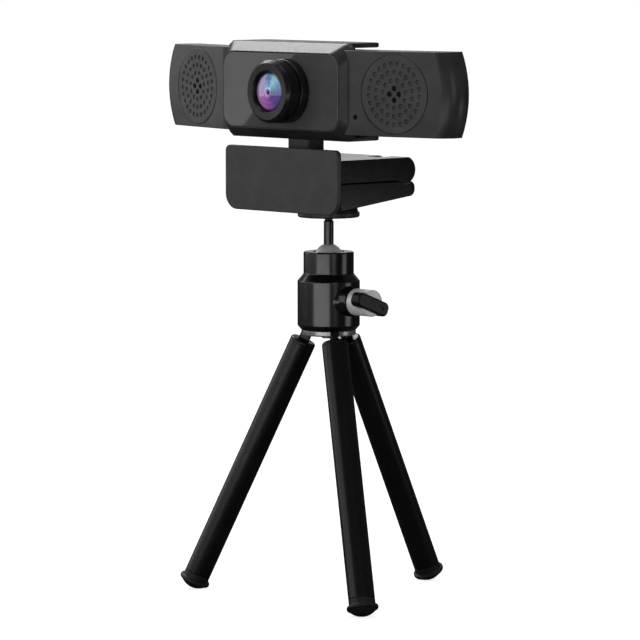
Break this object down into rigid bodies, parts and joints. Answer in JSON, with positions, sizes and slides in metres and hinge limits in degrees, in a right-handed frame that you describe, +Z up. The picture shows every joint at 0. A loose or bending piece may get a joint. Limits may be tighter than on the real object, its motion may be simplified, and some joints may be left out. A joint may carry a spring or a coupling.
{
  "type": "webcam on tripod",
  "caption": "Desk webcam with swept wings, a folding monitor clip and a swivel neck, on a small ball-head tripod with folding legs.",
  "frame": {"origin": "centre of the footprint box, on the surface that the feet stand on", "axes": "+Z up; the lens looks along -Y; +X is the side of the stand that carries the clamp lever"},
  "size_m": [0.1588, 0.0954, 0.212],
  "materials": {
    "black_gloss": "gloss",
    "black_plastic": "satin",
    "grey_plastic": "matte",
    "panel_gloss": "gloss",
    "lens_black": "satin",
    "grille_black": "matte",
    "rubber": "matte",
    "steel": "brushed",
    "brass": "machined",
    "coated_glass": "coated",
    "board_green": "satin",
    "sensor_dark": "gloss",
    "microphone_metal": "satin"
  },
  "bodies": {
    "stand": {"head_body": "black_gloss", "leg_hub": "black_plastic", "retaining_ring": "steel", "hub_screw": "steel", "pivot_pins": "steel"},
    "seat": {"ball_seat": "brass"},
    "clamp": {"clamp_screw": "steel", "clamp_knob": "steel", "thumb_lever": "black_gloss"},
    "ball": {"ball_stem": "steel", "mounting_plate": "black_gloss", "mounting_pad": "rubber", "camera_screw": "steel", "lower_leaf": "black_plastic", "thread_insert": "brass", "clip_hinge_pin": "steel"},
    "clip": {"upper_leaf": "grey_plastic", "clip_pad": "rubber", "swivel_screw": "steel"},
    "neck": {"neck": "black_plastic"},
    "camera": {"tilt_pin": "steel", "bar_front": "black_plastic", "bar_rear": "black_plastic", "block_frame": "grey_plastic", "front_panel": "panel_gloss", "tilt_bracket": "steel", "lens_base": "lens_black", "lens_holder": "black_plastic", "rear_element": "coated_glass", "sensor_board": "board_green", "image_sensor": "sensor_dark", "grille_left": "grille_black", "grille_right": "grille_black", "microphones": "microphone_metal", "main_board": "board_green", "led_pipe": "black_plastic", "usb_socket_gland": "rubber", "case_screws": "steel"},
    "focus": {"focus_ring": "lens_black", "front_glass": "coated_glass"},
    "leg_left": {"leg_plug_left": "black_gloss", "leg_tube_left": "black_gloss", "leg_sleeve_left": "black_plastic"},
    "foot_left": {"inner_tube_left": "steel", "slide_stop_left": "black_plastic", "foot_left": "rubber"},
    "leg_right": {"leg_plug_right": "black_gloss", "leg_tube_right": "black_gloss", "leg_sleeve_right": "black_plastic"},
    "foot_right": {"inner_tube_right": "steel", "slide_stop_right": "black_plastic", "foot_right": "rubber"},
    "leg_rear": {"leg_plug_rear": "black_gloss", "leg_tube_rear": "black_gloss", "leg_sleeve_rear": "black_plastic"},
    "foot_rear": {"inner_tube_rear": "steel", "slide_stop_rear": "black_plastic", "foot_rear": "rubber"}
  },
  "joints": [
    {"name": "leg_fold_left", "type": "hinge", "parent": "stand", "child": "leg_left", "pos_m": [-0.00641, -0.01569, 0.10327], "axis": [0.5, -0.866, 0], "range_deg": [0, 25]},
    {"name": "leg_extend_left", "type": "slide", "parent": "leg_left", "child": "foot_left", "axis": [-0.366, -0.2113, -0.9063], "range_m": [0, 0.07]},
    {"name": "leg_fold_right", "type": "hinge", "parent": "stand", "child": "leg_right", "pos_m": [0.00641, -0.01569, 0.10327], "axis": [0.5, 0.866, 0], "range_deg": [0, 25]},
    {"name": "leg_extend_right", "type": "slide", "parent": "leg_right", "child": "foot_right", "axis": [0.366, -0.2113, -0.9063], "range_m": [0, 0.07]},
    {"name": "leg_fold_rear", "type": "hinge", "parent": "stand", "child": "leg_rear", "pos_m": [0, -0.00459, 0.10327], "axis": [-1, 0, 0], "range_deg": [0, 25]},
    {"name": "leg_extend_rear", "type": "slide", "parent": "leg_rear", "child": "foot_rear", "axis": [0, 0.4226, -0.9063], "range_m": [0, 0.07]},
    {"name": "clamp_turn", "type": "hinge", "parent": "stand", "child": "clamp", "pos_m": [0, -0.01199, 0.11357], "axis": [1, 0, 0], "range_deg": [0, 360]},
    {"name": "ball_pan", "type": "hinge", "parent": "stand", "child": "seat", "pos_m": [0, -0.01199, 0.12947], "axis": [0, 0, 1], "continuous": true},
    {"name": "ball_tilt", "type": "hinge", "parent": "seat", "child": "ball", "pos_m": [0, -0.01199, 0.12947], "axis": [1, 0, 0], "range_deg": [-40, 40]},
    {"name": "clip_open", "type": "hinge", "parent": "ball", "child": "clip", "pos_m": [0, 0.00041, 0.16367], "axis": [-1, 0, 0], "range_deg": [0, 95]},
    {"name": "neck_swivel", "type": "hinge", "parent": "clip", "child": "neck", "pos_m": [0, -0.02379, 0.17017], "axis": [0, 0, 1], "range_deg": [-90, 90]},
    {"name": "head_tilt", "type": "hinge", "parent": "neck", "child": "camera", "pos_m": [0, -0.02379, 0.18017], "axis": [1, 0, 0], "range_deg": [-15, 15]},
    {"name": "focus_turn", "type": "hinge", "parent": "camera", "child": "focus", "pos_m": [0.004, -0.04779, 0.19372], "axis": [0, -1, 0], "range_deg": [-60, 60]}
  ]
}
